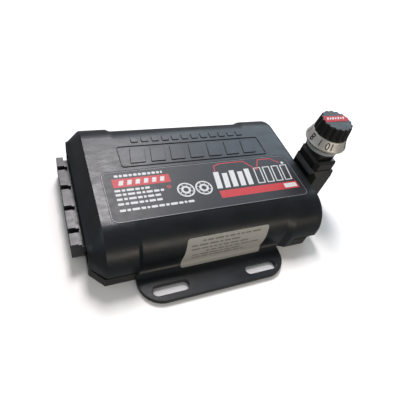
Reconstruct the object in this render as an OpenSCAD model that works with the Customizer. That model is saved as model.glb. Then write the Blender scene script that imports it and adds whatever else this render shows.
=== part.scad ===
// Electric trailer brake controller: a flanged main unit with a five-bay wiring header, and a small
// remote control head with a push-and-turn gain knob. Millimetres, +Z up. The origin is the centre of
// the four slotted flange holes, on the mounting plane. X runs along the unit, away from the header.

/* [Main unit] */
// Length of the body from the header wall to the jack wall
body_l = 109.5; // [106:0.5:114]
// Distance from the header wall to the centre of the flange slots
body_left = 52; // [51:0.5:53]
// Width of the body without its flanges
body_w = 77.2; // [74:0.2:80]
// Height of the body
body_h = 22.8; // [22:0.2:25]
// Wall thickness of the mouldings
wall = 1.8; // [1.4:0.1:2.0]
// Radius of the long top edges
edge_r = 15; // [13:0.5:16]
// Depth of the long recesses in the side walls
recess_d = 1.5; // [1:0.1:2]
// Radius where a side wall meets its flange
fillet_r = 3; // [2:0.1:3.4]
// Radius around the jack end
end_r = 2.8; // [1.5:0.1:4]
// Height of the joint between the upper housing and the base cover
seam_z = 5.9; // [5.9:0.1:6.2]
// Height where the bevel of the header wall starts
rim_z = 14.6; // [14:0.2:16]
// Length of that bevel, measured on the top face
bevel_l = 5.9; // [4:0.1:7]

/* [Mounting flanges] */
// Length of each flange
flange_l = 69.2; // [66:0.2:70]
// Distance that each flange stands out from the body
flange_out = 13.2; // [13:0.2:16]
// Thickness of the flanges
flange_t = 2.2; // [2:0.1:3]
// Radius of the outer corners of the flanges
flange_r = 10.5; // [8:0.5:11]
// Distance between slot centres along the flange
slot_pitch = 43; // [40:0.5:44]
// Distance between the two rows of slots, across the body
slot_rows = 93.3; // [93:0.1:93.6]
// Length of a slot, end to end
slot_l = 15.7; // [12:0.1:16]
// Width of a slot
slot_w = 4.4; // [4:0.1:5]

/* [Wiring header] */
// Distance that the header stands out from its wall
header_out = 5.2; // [4.8:0.1:6]
// Width of the header
header_w = 48.8; // [48:0.2:49]
// Distance between the grooves in the roof of the header
groove_pitch = 11.7; // [11.5:0.1:11.8]

/* [Remote head] */
// Gap between the main unit and the head as they stand
head_gap = 4.5; // [3:0.5:10]
// Width of the head case
head_w = 15.2; // [15:0.1:17]
// Depth of the head case
head_d = 18.2; // [18:0.1:20]
// Height of the collar that carries the knob
collar_z = 31.1; // [31:0.1:32]

/* [Gain knob] */
// Radius at the lower edge of the dial
dial_r = 10.65; // [10.5:0.05:11.5]
// Radius of the knob cap where it meets the dial
cap_r = 8.8; // [8.6:0.1:9.2]
// Number of finger flutes around the cap
flutes = 16; // [12:1:20]
// Travel of the knob when it is pushed
push = 1.2; // [0.8:0.1:1.2]
// Number of marks on the dial
marks = 11; // [9:1:11]
// Angle between two marks
mark_step = 30; // [25:1:30]

/* [Hidden] */
$fn = 96;
// Overlap of shapes that must fuse
eps = 0.01;
// Beyond every outer face, for cutting blocks
far = 80;

// Main unit
x0 = -body_left;
x1 = body_l - body_left;
hy = body_w / 2;
chamfer_x = 5.3;
chamfer_y = 6.3;
recess_x = [-33.5, 39.6];
recess_floor_x = [-31.8, 36.8];
skirt_x0 = -33.8;
skirt_x1 = 43.6;
floor_t = 2;
seam_step = 0.7;
post_r = 2.6;
screw_r = 1.1;
screw_head_r = 2.4;
screw_head_h = 0.9;
screw_hole_top = 14;
flange_root = 2.5;
posts = [[-45.4, 28], [-45.4, -28], [51.4, 28], [51.4, -28]];

// Labels and raised pattern
label_x = [-41.9, 51.6];
label_y = [-25.4, 1.7];
label_depth = 0.45;
label_t = 0.35;
label_gap = 0.15;
rib_h = 0.35;
panel_x = [-31.9, 42.7];
panel_y = [3.5, 16.8];
frame_w = 0.55;
tile_count = 7;
tile_pitch = 9.6;
tile_w = 7;
tile_h = 9.4;
tile_lean = 1.6;
stud_count = 12;
stud_pitch = 5.1;
stud_size = [3.4, 3.4];
stud_y = 20.4;
plate_x = [-14.2, 25];
plate_z = [3, 16.5];
plate_t = 0.15;

// Header
header_z = [2.4, 11.7];
header_in = x0 + 6.4;
header_cave = x0 + 4;
bay_z = [4.3, 8.9];
bay_wall = 1.4;
groove_w = 2.5;
groove_d = 2.2;
root_gap = 2.2;
ledge_out = 1.2;
ledge_l = 1.9;
ledge_drop = 0.7;
blade_t = 0.8;
blade_z = 6.6;
blade_tip = x0 - 0.8;

// Board and its parts
board_z = 4.3;
board_t = 1.6;
board_top = board_z + board_t;
board_x = [-43.5, 52.6];
board_y = 32.2;
board_hole_x = [-34, 44];
board_hole_y = 29;

// Modular jacks, the mouth facing +X before they are placed
jack_l = 16;
jack_w = 15.2;
jack_h = 12.8;
mouth_w = 11.9;
mouth_h = 8.2;
mouth_l = 11.5;
mouth_z = 1.4;

// Head, placed from the main unit
hx0 = x1 + head_gap;
hx1 = hx0 + head_w;
hy0 = -13.8;
hy1 = hy0 + head_d;
head_wall = 1.2;
head_shoulder = 19.5;
head_split = 22.3;
rim_top = 26.2;
deck_z = 27.5;
rim_in = 0.95;
rim_y = [-11.8, 4.2];
collar_w = 10.4;
collar_y = [-9.1, 4.2];
kx = (hx0 + hx1) / 2;
ky = -2.2;

// Knob stack, heights above the mounting plane
bush_r = 3.5;
bush_top = 36.4;
shaft_r = 3;
stem_r = 2;
run = 0.05;
encoder_z = [21.3, collar_z - 4.2];
dial_z = [34.8, 40.3];
cap_top = 47.1;
cap_top_r = 8;
badge_y = [-0.8, 3.4];
badge_t = 0.15;
boss_r = 4.4;
boss_z = bush_top + push + 0.3;
guide_top = 35;
guide_rim_r = [8.4, 9];
guide_rim_z = dial_z[0] - push - 0.3;
plunger_z = [18.6, 19.6];
spring_z = [14.9, plunger_z[0]];
head_board_z = [13.5, 14.9];

// ---------- shared shapes ----------

// Bar of constant section along X: 2D (x, y) becomes (Y, Z)
module along_x(from, to) {
    translate([from, 0, 0]) rotate([90, 0, 90]) linear_extrude(to - from) children();
}

// Slab of constant section along Y: 2D (x, y) becomes (X, Z)
module along_y(from, to) {
    translate([0, to, 0]) rotate([90, 0, 0]) linear_extrude(to - from) children();
}

// Box given by its lowest and highest corners
module box(low, high) {
    translate(low) cube(high - low);
}

module rounded_rect(x, y, r) {
    translate([x[0] + r, y[0]]) square([x[1] - x[0] - 2 * r, y[1] - y[0]]);
    translate([x[0], y[0] + r]) square([x[1] - x[0], y[1] - y[0] - 2 * r]);
    for (cx = [x[0] + r, x[1] - r], cy = [y[0] + r, y[1] - r]) translate([cx, cy]) circle(r);
}

// Outline of the body seen from above, drawn in by d
module body_plan(d) {
    polygon([
        [x0 + chamfer_x, -hy + d], [x1 - end_r, -hy + d], [x1 - end_r, hy - d],
        [x0 + chamfer_x, hy - d], [x0 + d, hy - chamfer_y], [x0 + d, -hy + chamfer_y]
    ]);
    rounded_rect([0, x1 - d], [-hy + d, hy - d], end_r - min(d, end_r - 0.8));
}

// Cross-section of the body with its long edges rounded, narrower by n on each side, drawn in by d
module body_section(d, n = 0) {
    w = hy - n;
    translate([-w + d, -1]) square([2 * (w - d), body_h - edge_r + 1]);
    translate([-w + edge_r, -1]) square([2 * (w - edge_r), body_h - d + 1]);
    for (s = [-1, 1]) translate([s * (w - edge_r), body_h - edge_r]) circle(edge_r - d);
}

// Side view of the body with the bevel of the header wall, drawn in by d
module body_side(d) {
    r = end_r - min(d, end_r - 0.8);
    polygon([
        [x0 + d, -1], [x0 + d, rim_z - d / 2], [x0 + bevel_l + d / 2, body_h - d],
        [x1 - d - r, body_h - d], [x1 - d, body_h - d - r], [x1 - d, -1]
    ]);
    translate([x1 - d - r, body_h - d - r]) circle(r);
}

module body_solid(d, n = 0) {
    intersection() {
        translate([0, 0, d > 0 ? -1 : 0]) linear_extrude(body_h + 1) body_plan(d);
        along_x(x0 - 1, x1 + 1) body_section(d, n);
        along_y(-hy - 1, hy + 1) body_side(d);
    }
}

// Material that blends a recessed side wall into its flange, grown by d
module foot_fillet(d) {
    w = hy - recess_d;
    for (s = [-1, 1]) difference() {
        translate([s * (w + fillet_r / 2 - 0.5), (flange_t + fillet_r) / 2])
            square([fillet_r + 1, flange_t + fillet_r], center = true);
        translate([s * (w + fillet_r), flange_t + fillet_r]) circle(fillet_r - d);
    }
}

// The long shallow recesses of both side walls, with slanted ends
module side_recesses() {
    w = hy - recess_d;
    past = 1;
    run_out = (recess_d + past) / recess_d;
    mouth = [for (i = [0, 1]) recess_floor_x[i] + (recess_x[i] - recess_floor_x[i]) * run_out];
    top_y = w - edge_r + 0.9;
    difference() {
        linear_extrude(body_h + 1) for (s = [-1, 1]) polygon([
            [recess_floor_x[0], s * top_y], [recess_floor_x[0], s * w],
            [mouth[0], s * (hy + past)], [mouth[1], s * (hy + past)],
            [recess_floor_x[1], s * w], [recess_floor_x[1], s * top_y]
        ]);
        along_x(x0 - 1, x1 + 1) body_section(0, recess_d);
    }
}

module slots() {
    for (sx = [-1, 1], sy = [-1, 1]) {
        translate([sx * slot_pitch / 2, sy * slot_rows / 2, -1]) linear_extrude(flange_t + 2) {
            square([slot_l - slot_w, slot_w], center = true);
            for (e = [-1, 1]) translate([e * (slot_l - slot_w) / 2, 0]) circle(slot_w / 2);
        }
    }
}

module flange_plan() {
    rounded_rect([-flange_l / 2, flange_l / 2], [-hy - flange_out, hy + flange_out], flange_r);
}

// A modular jack with its mouth facing +X, standing on z = 0 and centred on y = 0
module jack_body() {
    difference() {
        box([-jack_l, -jack_w / 2, 0], [0, jack_w / 2, jack_h]);
        box([-mouth_l, -mouth_w / 2, mouth_z], [1, mouth_w / 2, mouth_z + mouth_h - 1.6]);
        box([-mouth_l, -3.1, mouth_z], [1, 3.1, mouth_z + mouth_h]);
    }
}

// Eight sprung contact wires of the same jack
module jack_wires() {
    for (i = [0:7]) {
        translate([0, (i - 3.5) * 1.02, 0]) {
            box([-mouth_l - 0.6, -0.2, mouth_z + 0.1], [-3.4, 0.2, mouth_z + 0.5]);
            translate([-mouth_l + 0.2, 0.2, mouth_z + 0.3]) rotate([90, -28, 0])
                linear_extrude(0.4) square([5, 0.35]);
        }
    }
}

// ---------- main unit ----------

// Raised frame with a row of slanted tiles in it, and a row of small studs above it
module pattern_ribs() {
    sink = 0.3;
    inner_x = [panel_x[0] + frame_w, panel_x[1] - frame_w];
    inner_y = [panel_y[0] + frame_w, panel_y[1] - frame_w];
    mid = [(panel_x[0] + panel_x[1]) / 2, (panel_y[0] + panel_y[1]) / 2];
    translate([0, 0, body_h - sink]) linear_extrude(rib_h + sink) {
        difference() {
            rounded_rect(panel_x, panel_y, 1.2);
            rounded_rect(inner_x, inner_y, 0.9);
        }
        for (i = [0:tile_count - 1])
            translate([mid[0] + (i - (tile_count - 1) / 2) * tile_pitch, mid[1]]) polygon([
                [-(tile_w + tile_lean) / 2, -tile_h / 2], [(tile_w - tile_lean) / 2, -tile_h / 2],
                [(tile_w + tile_lean) / 2, tile_h / 2], [-(tile_w - tile_lean) / 2, tile_h / 2]
            ]);
        for (i = [0:stud_count - 1])
            translate([mid[0] + (i - (stud_count - 1) / 2) * stud_pitch, stud_y])
                square(stud_size, center = true);
    }
}

module upper_housing() {
    color("#17191d") {
        difference() {
            union() {
                difference() {
                    body_solid(0);
                    side_recesses();
                }
                along_x(recess_floor_x[0] - 1, flange_l / 2) foot_fillet(0);
                intersection() {
                    linear_extrude(flange_t) flange_plan();
                    union() {
                        box([-far, hy - flange_root, 0], [far, far, flange_t]);
                        box([-far, -far, 0], [far, flange_root - hy, flange_t]);
                    }
                }
                pattern_ribs();
            }
            difference() {
                body_solid(wall, recess_d);
                for (p = posts) translate([p[0], p[1], floor_t]) cylinder(r = post_r, h = body_h);
            }
            box([-far, -far, -1], [skirt_x0, far, seam_z]);
            box([skirt_x1, -far, -1], [far, far, seam_z]);
            slots();
            for (p = posts) {
                translate([p[0], p[1], 0]) cylinder(r = screw_r, h = screw_hole_top);
                translate([p[0], p[1], -1]) cylinder(r = post_r + 0.1, h = floor_t + 1);
            }
            translate([0, 0, body_h - label_depth]) linear_extrude(1)
                rounded_rect(label_x, label_y, 3);
            box([x0 - 1, -header_w / 2, 0], [x0 + 8, header_w / 2, header_z[1]]);
            box([x1 - 3, -jack_w / 2 - 0.1, 0], [x1 + 1, jack_w / 2 + 0.1, board_top + jack_h + 0.1]);
        }
        for (p = posts) difference() {
            translate([p[0], p[1], floor_t]) cylinder(r = post_r, h = seam_z);
            translate([p[0], p[1], 0]) cylinder(r = screw_r, h = screw_hole_top);
        }
    }
}

// Outline of the base cover, drawn in by d, with the strips between the skirts left out
module cover_plan(d) {
    c = 6.5;
    gap = 0.3;
    difference() {
        polygon([
            [x0 + chamfer_x, -hy + d], [x1 - c, -hy + d], [x1 - d, -hy + c],
            [x1 - d, hy - c], [x1 - c, hy - d], [x0 + chamfer_x, hy - d],
            [x0 + d, hy - chamfer_y], [x0 + d, -hy + chamfer_y]
        ]);
        for (s = [-1, 1]) translate([skirt_x0 - gap - d, s * hy - recess_d - wall - 0.2 - d])
            square([skirt_x1 - skirt_x0 + 2 * (gap + d), 2 * (recess_d + wall + 0.2 + d)]);
    }
}

module base_cover() {
    color("#1b1c1f") difference() {
        union() {
            linear_extrude(seam_z - seam_step) cover_plan(0);
            linear_extrude(seam_z) cover_plan(seam_step);
        }
        translate([0, 0, floor_t]) linear_extrude(seam_z) difference() {
            cover_plan(seam_step + wall);
            for (x = board_hole_x, s = [-1, 1]) translate([x, s * board_hole_y]) circle(2.6);
        }
        for (p = posts) translate([p[0], p[1], -1]) {
            cylinder(r = screw_head_r + 0.1, h = 1 + screw_head_h);
            cylinder(r = screw_r + 0.2, h = 5);
            translate([0, 0, floor_t + 1]) cylinder(r = post_r + 0.3, h = 8);
        }
        box([x0 - 1, -header_w / 2, header_z[0]], [x0 + 8, header_w / 2, seam_z + 1]);
        for (x = board_hole_x, s = [-1, 1]) translate([x, s * board_hole_y, 0]) {
            translate([0, 0, 1]) cylinder(r = 0.9, h = 8);
            translate([0, 0, board_z]) cylinder(r = 3, h = 8);
        }
    }
}

module base_screws() {
    color("#9a9a9c") for (p = posts) translate([p[0], p[1], 0]) {
        difference() {
            cylinder(r = screw_head_r, h = screw_head_h);
            translate([0, 0, -0.1]) cylinder(r = 1.1, h = 0.6, $fn = 6);
        }
        cylinder(r = screw_r, h = 12);
    }
}

module top_label() {
    color("#2a2c31") translate([0, 0, body_h - label_depth]) linear_extrude(label_t)
        rounded_rect([label_x[0] + label_gap, label_x[1] - label_gap],
                     [label_y[0] + label_gap, label_y[1] - label_gap], 2.85);
}

module rating_label() {
    color("#b9b3a8") intersection() {
        along_x(plate_x[0], plate_x[1]) difference() {
            union() {
                body_section(-plate_t, recess_d);
                foot_fillet(plate_t);
            }
            body_section(0, recess_d);
            foot_fillet(0);
        }
        box([plate_x[0] - 1, -hy - 5, plate_z[0]], [plate_x[1] + 1, -hy / 2, plate_z[1]]);
    }
}

// Left and right sides of each bay of the header
function groove_at(i) = (i - 1.5) * groove_pitch;
bays = [
    [-header_w / 2 + 1, groove_at(0) - bay_wall / 2],
    for (i = [0:2]) [groove_at(i) + bay_wall / 2, groove_at(i + 1) - bay_wall / 2],
    [groove_at(3) + bay_wall / 2, header_w / 2 - 1]
];

// Half the width of the blade of a bay, and the middle of that bay
function blade_half(b) = b[1] - b[0] > 8 ? 3.15 : 1.4;
function blade_y(b) = (b[0] + b[1]) / 2;

// Lower front edge of each roof block
blocks = [-header_w / 2, for (i = [0:3]) groove_at(i) + groove_w / 2];

module wiring_header() {
    tip = x0 - header_out;
    root = x0 - root_gap;
    floor_z = header_z[1] - groove_d;
    color("#26272a") {
        difference() {
            box([tip, -header_w / 2, header_z[0]], [header_in, header_w / 2, header_z[1]]);
            for (b = bays) box([tip - 1, b[0], bay_z[0]], [header_cave, b[1], bay_z[1]]);
            for (i = [0:3]) translate([tip - 1, groove_at(i) - groove_w / 2, floor_z])
                cube([header_out + 1, groove_w, groove_d + 1]);
            box([root, -header_w / 2 - 1, floor_z], [x0, header_w / 2 + 1, header_z[1] + 1]);
            for (b = bays) box([x0, blade_y(b) - blade_half(b), blade_z],
                               [header_in + 1, blade_y(b) + blade_half(b), blade_z + blade_t]);
        }
        for (y = blocks) box([root - eps, y, floor_z - eps],
                             [root + ledge_out, y + ledge_l, header_z[1] - ledge_drop]);
    }
}

module header_terminals() {
    foot = header_in + 2.6;
    color("#c9b27a") for (b = bays) {
        y = [blade_y(b) - blade_half(b), blade_y(b) + blade_half(b)];
        box([blade_tip, y[0], blade_z], [foot + blade_t, y[1], blade_z + blade_t]);
        box([foot, y[0], board_z - 1.2], [foot + blade_t, y[1], blade_z + blade_t]);
    }
}

module remote_jack() {
    color("#1d1e20") translate([x1 - 0.3, 0, board_top]) jack_body();
}

module remote_jack_contacts() {
    color("#d8b75c") translate([x1 - 0.3, 0, board_top]) jack_wires();
}

module main_board() {
    color("#1f5a35") difference() {
        box([board_x[0], -board_y, board_z], [board_x[1], board_y, board_top]);
        for (p = posts) translate([p[0], p[1], 0]) cylinder(r = post_r + 0.5, h = 10);
        for (x = board_hole_x, s = [-1, 1])
            translate([x, s * board_hole_y, 0]) cylinder(r = 1.2, h = 10);
        for (b = bays) box([header_in + 2.5, blade_y(b) - blade_half(b) - 0.1, 0],
                           [header_in + 3.5, blade_y(b) + blade_half(b) + 0.1, 10]);
    }
}

module board_screws() {
    color("#a8a8aa") for (x = board_hole_x, s = [-1, 1]) translate([x, s * board_hole_y, 0]) {
        translate([0, 0, 1.4]) cylinder(r = 0.9, h = board_top - 1.4);
        translate([0, 0, board_top]) cylinder(r = 2, h = 1.2);
    }
}

// Four power transistors standing against the heat spreader
fet_x = [-27, -13, 1, 15];
spreader_y = [24.5, 27];
module power_transistors() {
    color("#202124") for (x = fet_x) {
        box([x - 5, spreader_y[0] - 4.4, board_top + 2], [x + 5, spreader_y[0], board_top + 11]);
        for (i = [-1:1]) box([x + i * 2.5 - 0.4, spreader_y[0] - 2.6, board_top],
                             [x + i * 2.5 + 0.4, spreader_y[0] - 2, board_top + 2]);
    }
}

module heat_spreader() {
    color("#b7babd")
        box([-34, spreader_y[0], board_top], [22, spreader_y[1], board_top + 12.4]);
}

cap_spots = [[-31, -22], [-20.5, -22], [-10, -22]];
module capacitors() {
    color("#24346b") for (c = cap_spots) translate([c[0], c[1], board_top])
        rotate_extrude() {
            square([4.6, 12.6]);
            translate([0, 0.5]) square([5, 11.4]);
        }
}

choke_at = [10, -18];
module choke_core() {
    color("#3d4a3f") translate([choke_at[0], choke_at[1], board_top + 1]) difference() {
        cylinder(r = 7.6, h = 6);
        translate([0, 0, -1]) cylinder(r = 4, h = 8);
    }
}

module choke_winding() {
    color("#b5672e") translate([choke_at[0], choke_at[1], board_top]) for (i = [0:13])
        rotate(i * 24) difference() {
            box([3, -0.55, 0], [8.6, 0.55, 8]);
            box([4, -1, 1], [7.6, 1, 7]);
        }
}

module current_shunt() {
    color("#8d8378") translate([-36, 0, board_top]) difference() {
        box([-1.2, -8, 0], [1.2, 8, 4]);
        box([-2, -6.4, -1], [2, 6.4, 2.6]);
    }
}

module microcontroller() {
    color("#1a1b1d") {
        box([18, -2, board_top + 0.2], [28, 8, board_top + 1.6]);
        for (i = [-6:6], s = [-1, 1]) {
            box([23 + i * 0.7 - 0.15, 3 + s * 5 - 0.6, board_top],
                [23 + i * 0.7 + 0.15, 3 + s * 5 + 0.6, board_top + 0.35]);
        }
    }
}

module motion_sensor() {
    color("#2c2d30") box([30, -14, board_top], [34, -10, board_top + 1.1]);
}

// ---------- remote head ----------

// Plan of the head between x and y, with cut front corners of size c
module head_plan(x, y, c) {
    polygon([
        [x[0] + c, y[0]], [x[1] - c, y[0]], [x[1], y[0] + c], [x[1], y[1] - c / 2],
        [x[1] - c / 2, y[1]], [x[0] + c / 2, y[1]], [x[0], y[1] - c / 2], [x[0], y[0] + c]
    ]);
}

// Block of the head with its top edges cut back by t over the height e; the rear is cut back less
module head_block(x, y, z, c, t, e, rear) {
    intersection() {
        translate([0, 0, z[0]]) linear_extrude(z[1] - z[0]) head_plan(x, y, c);
        along_y(y[0] - 1, y[1] + 1) polygon([
            [x[0], z[0]], [x[1], z[0]], [x[1], z[1] - e], [x[1] - t, z[1]], [x[0] + t, z[1]],
            [x[0], z[1] - e]
        ]);
        along_x(x[0] - 1, x[1] + 1) polygon([
            [y[0], z[0]], [y[1], z[0]], [y[1], z[1] - rear], [y[1] - rear, z[1]],
            [y[0] + t, z[1]], [y[0], z[1] - e]
        ]);
    }
}

module head_lower_case() {
    color("#15161a") difference() {
        head_block([hx0, hx1], [hy0, hy1], [0, head_split], 2.8, 1.7,
                   head_split - head_shoulder, 0.2);
        translate([0, 0, head_wall]) linear_extrude(30)
            head_plan([hx0 + 2.9, hx1 - 2.9], [hy0 + 2.9, hy1 - 1.6], 1);
        box([kx - jack_h / 2 - 0.1, ky - 2.5 - jack_w / 2 - 0.1, -1],
            [kx + jack_h / 2 + 0.1, ky - 2.5 + jack_w / 2 + 0.1, head_board_z[0]]);
    }
}

module head_upper_case() {
    x = [hx0 + rim_in, hx1 - rim_in];
    color("#15161a") difference() {
        union() {
            head_block(x, rim_y, [head_split, deck_z], 1.9, 1.3, deck_z - rim_top, 0.2);
            translate([0, 0, deck_z - eps]) linear_extrude(collar_z - deck_z + eps)
                rounded_rect([kx - collar_w / 2, kx + collar_w / 2], collar_y, 1);
        }
        translate([0, 0, head_split - 1]) linear_extrude(encoder_z[1] - head_split + 1)
            head_plan([x[0] + 1.3, x[1] - 1.3], [rim_y[0] + 1.3, rim_y[1] - 1.3], 1);
        translate([kx, ky, 0]) cylinder(r = bush_r + 0.1, h = 60);
    }
}

module head_jack() {
    color("#1d1e20") place_head_jack() jack_body();
}

module head_jack_contacts() {
    color("#d8b75c") place_head_jack() jack_wires();
}

// The jack of the head has its mouth facing down; it is shortened by its board
module place_head_jack() {
    intersection() {
        translate([kx - jack_h / 2, ky - 2.5, 0.3]) rotate([0, 90, 0]) children();
        box([hx0, hy0, 0], [hx1, hy1, head_board_z[0]]);
    }
}

module head_board() {
    color("#1f5a35") difference() {
        translate([0, 0, head_board_z[0]]) linear_extrude(head_board_z[1] - head_board_z[0])
            head_plan([hx0 + 3, hx1 - 3], [hy0 + 3, hy1 - 1.7], 1);
        translate([kx, ky, 0]) cylinder(r = 0.6, h = 30);
    }
}

module status_leds() {
    z = head_board_z[1];
    color("#e8e8e0") for (s = [-1, 1])
        box([kx + s * 3.4 - 0.8, hy0 + 4, z], [kx + s * 3.4 + 0.8, hy0 + 5, z + 0.8]);
}

module encoder_body() {
    color("#6f7376") difference() {
        box([kx - 4.5, ky - 5.4, encoder_z[0]], [kx + 4.5, ky + 4.6, encoder_z[1]]);
        translate([kx, ky, 0]) cylinder(r = stem_r + run, h = 60);
    }
}

module encoder_bush() {
    color("#b79a55") translate([kx, ky, encoder_z[1]]) difference() {
        cylinder(r = bush_r, h = bush_top - encoder_z[1]);
        translate([0, 0, -1]) cylinder(r = shaft_r + run, h = 20);
    }
}

// Flared ring under the dial, with a neck up to the nut of the bush
module light_guide() {
    color("#dfe4e6") translate([kx, ky, collar_z]) difference() {
        union() {
            cylinder(r1 = guide_rim_r[0], r2 = guide_rim_r[1], h = guide_rim_z - collar_z);
            cylinder(r = 6.2, h = guide_top - collar_z);
        }
        translate([0, 0, -1]) cylinder(r = bush_r, h = 20);
    }
}

module bush_nut() {
    color("#a9a48e") translate([kx, ky, guide_top]) difference() {
        cylinder(r = 5, h = bush_top - guide_top, $fn = 6);
        translate([0, 0, -1]) cylinder(r = bush_r, h = 4);
    }
}

module switch_plunger() {
    color("#e2e2df") translate([kx, ky, plunger_z[0]]) cylinder(r = 2.6, h = plunger_z[1] - plunger_z[0]);
}

// Helical return spring as a swept round wire
module return_spring() {
    turns = 4;
    wire = 0.22;
    coil_r = 1.8;
    rings = turns * 14;
    sides = 6;
    length = spring_z[1] - spring_z[0] - 2 * wire;
    points = [
        for (i = [0:rings], j = [0:sides - 1])
            let (a = 360 * turns * i / rings, b = 360 * j / sides, r = coil_r + wire * cos(b))
            [r * cos(a), r * sin(a), wire + length * i / rings + wire * sin(b)]
    ];
    walls = [
        for (i = [0:rings - 1], j = [0:sides - 1])
            let (k = (j + 1) % sides)
            [i * sides + j, i * sides + k, (i + 1) * sides + k, (i + 1) * sides + j]
    ];
    ends = [
        [for (j = [sides - 1:-1:0]) j],
        [for (j = [0:sides - 1]) rings * sides + j]
    ];
    color("#c4c6c8") translate([kx, ky, spring_z[0]]) polyhedron(points, concat(walls, ends));
}

// ---------- knob ----------

module encoder_shaft() {
    color("#c8c9cb") translate([kx, ky, 0]) {
        translate([0, 0, plunger_z[1] + 0.05]) cylinder(r = stem_r, h = 12);
        translate([0, 0, encoder_z[1] + push + 0.3])
            cylinder(r = shaft_r, h = cap_top - 2.4 - encoder_z[1] - push - 0.3);
    }
}

// Radius of the dial's flared face at height z
function dial_at(z) = dial_r + (cap_r - dial_r) * (z - dial_z[0] - 0.7) / (dial_z[1] - dial_z[0] - 0.7);

module dial() {
    t = 1.1;
    color("#c9cbca") translate([kx, ky, 0]) rotate_extrude() polygon([
        [dial_r - t, dial_z[0]], [dial_r, dial_z[0]], [dial_r, dial_z[0] + 0.7],
        [cap_r, dial_z[1]], [boss_r, dial_z[1]], [boss_r, dial_z[1] - 1],
        [cap_r - t - 0.2, dial_z[1] - 1], [dial_r - t, dial_z[0] + 0.7]
    ]);
}

module dial_marks() {
    z = (dial_z[0] + dial_z[1]) / 2;
    lean = atan((dial_r - cap_r) / (dial_z[1] - dial_z[0] - 0.7));
    color("#18191b") for (i = [0:marks - 1]) translate([kx, ky, 0])
        rotate(180 + (i - 8) * mark_step) translate([dial_at(z), 0, z]) rotate([0, -lean, 0])
            cube([0.3, 0.5, i % 2 == 0 ? 2.6 : 2], center = true);
}

module knob_cap() {
    taper = (cap_r - cap_top_r) / (cap_top - dial_z[1]);
    color("#202124") translate([kx, ky, 0]) difference() {
        translate([0, 0, dial_z[1]]) cylinder(r1 = cap_r, r2 = cap_top_r, h = cap_top - dial_z[1]);
        for (i = [0:flutes - 1]) rotate((i + 0.5) * 360 / flutes)
            translate([cap_r + 1.15, 0, dial_z[1] + 0.8]) rotate([0, -atan(taper), 0])
                cylinder(r = 1.6, h = 12);
        difference() {
            translate([0, 0, dial_z[1] - 1]) cylinder(r = cap_top_r - 1.6, h = cap_top - dial_z[1] - 0.6);
            cylinder(r = boss_r, h = 60);
        }
        translate([0, 0, dial_z[1] - 1]) cylinder(r = shaft_r, h = cap_top - 2.4 - dial_z[1] + 1);
    }
    color("#202124") translate([kx, ky, boss_z]) difference() {
        cylinder(r = boss_r, h = dial_z[1] - boss_z);
        translate([0, 0, -1]) cylinder(r = shaft_r, h = 20);
    }
}

// Strip across the top of the cap, a little behind the middle
module cap_badge() {
    color("#b3262c") translate([kx, ky, cap_top]) intersection() {
        box([-cap_r, badge_y[0], 0], [cap_r, badge_y[1], badge_t]);
        cylinder(r = cap_top_r - 0.5, h = 1);
    }
}

upper_housing();
base_cover();
base_screws();
top_label();
rating_label();
wiring_header();
header_terminals();
remote_jack();
remote_jack_contacts();
main_board();
board_screws();
power_transistors();
heat_spreader();
capacitors();
choke_core();
choke_winding();
current_shunt();
microcontroller();
motion_sensor();
head_lower_case();
head_upper_case();
head_jack();
head_jack_contacts();
head_board();
status_leds();
encoder_body();
encoder_bush();
bush_nut();
light_guide();
switch_plunger();
return_spring();
encoder_shaft();
dial();
dial_marks();
knob_cap();
cap_badge();
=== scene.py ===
"""Looks of a trailer brake controller: a flanged main unit and a small remote head with a knob.

Lengths are millimetres in the shape functions and become metres when a mesh is made. The frame is the
CAD frame: X along the unit, Z up, the origin at the centre of the flange slots on the mounting plane.
"""

import math

import bmesh
import bpy
from mathutils import Matrix, Vector


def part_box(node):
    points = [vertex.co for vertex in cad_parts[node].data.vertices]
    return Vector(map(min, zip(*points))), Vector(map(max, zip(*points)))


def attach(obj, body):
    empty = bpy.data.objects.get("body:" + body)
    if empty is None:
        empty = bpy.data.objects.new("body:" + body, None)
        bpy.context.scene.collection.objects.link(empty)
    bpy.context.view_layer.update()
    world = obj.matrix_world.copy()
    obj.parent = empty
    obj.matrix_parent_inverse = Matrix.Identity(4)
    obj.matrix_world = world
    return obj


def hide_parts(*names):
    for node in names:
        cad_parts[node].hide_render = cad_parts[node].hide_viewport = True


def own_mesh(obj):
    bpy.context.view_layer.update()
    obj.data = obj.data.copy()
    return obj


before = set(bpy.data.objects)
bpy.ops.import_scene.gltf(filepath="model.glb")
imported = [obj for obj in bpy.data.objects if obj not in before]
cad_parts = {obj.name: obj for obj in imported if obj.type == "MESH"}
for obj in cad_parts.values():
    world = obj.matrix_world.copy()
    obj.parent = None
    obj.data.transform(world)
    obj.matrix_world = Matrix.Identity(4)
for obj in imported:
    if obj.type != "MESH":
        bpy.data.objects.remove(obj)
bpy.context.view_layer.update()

MM = 0.001


def node_box(node):
    """Lowest and highest corner of a CAD node, in millimetres."""
    low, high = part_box(node)
    return low / MM, high / MM


# ---------------------------------------------------------------- driving sizes, in millimetres

COVER_LOW, COVER_HIGH = node_box("base_cover")
HOUSING_HIGH = node_box("upper_housing")[1]
HEADER_LOW, HEADER_HIGH = node_box("wiring_header")
LABEL_LOW, LABEL_HIGH = node_box("top_label")
PLATE_LOW, PLATE_HIGH = node_box("rating_label")
DIAL_LOW, DIAL_HIGH = node_box("dial")
CAP_LOW, CAP_HIGH = node_box("knob_cap")
BADGE_LOW, BADGE_HIGH = node_box("cap_badge")
JACK_LOW, JACK_HIGH = node_box("remote_jack")

# The case: ends, half width, the seam with the base cover, and the relief on the top face
X_LEFT, X_RIGHT = COVER_LOW.x, COVER_HIGH.x
HALF_W = COVER_HIGH.y
SEAM_Z = COVER_HIGH.z
RIB_H = 0.35
TOP_Z = HOUSING_HIGH.z - RIB_H
EDGE_R = 15.0
END_R = 2.8
WALL = 1.8

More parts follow.
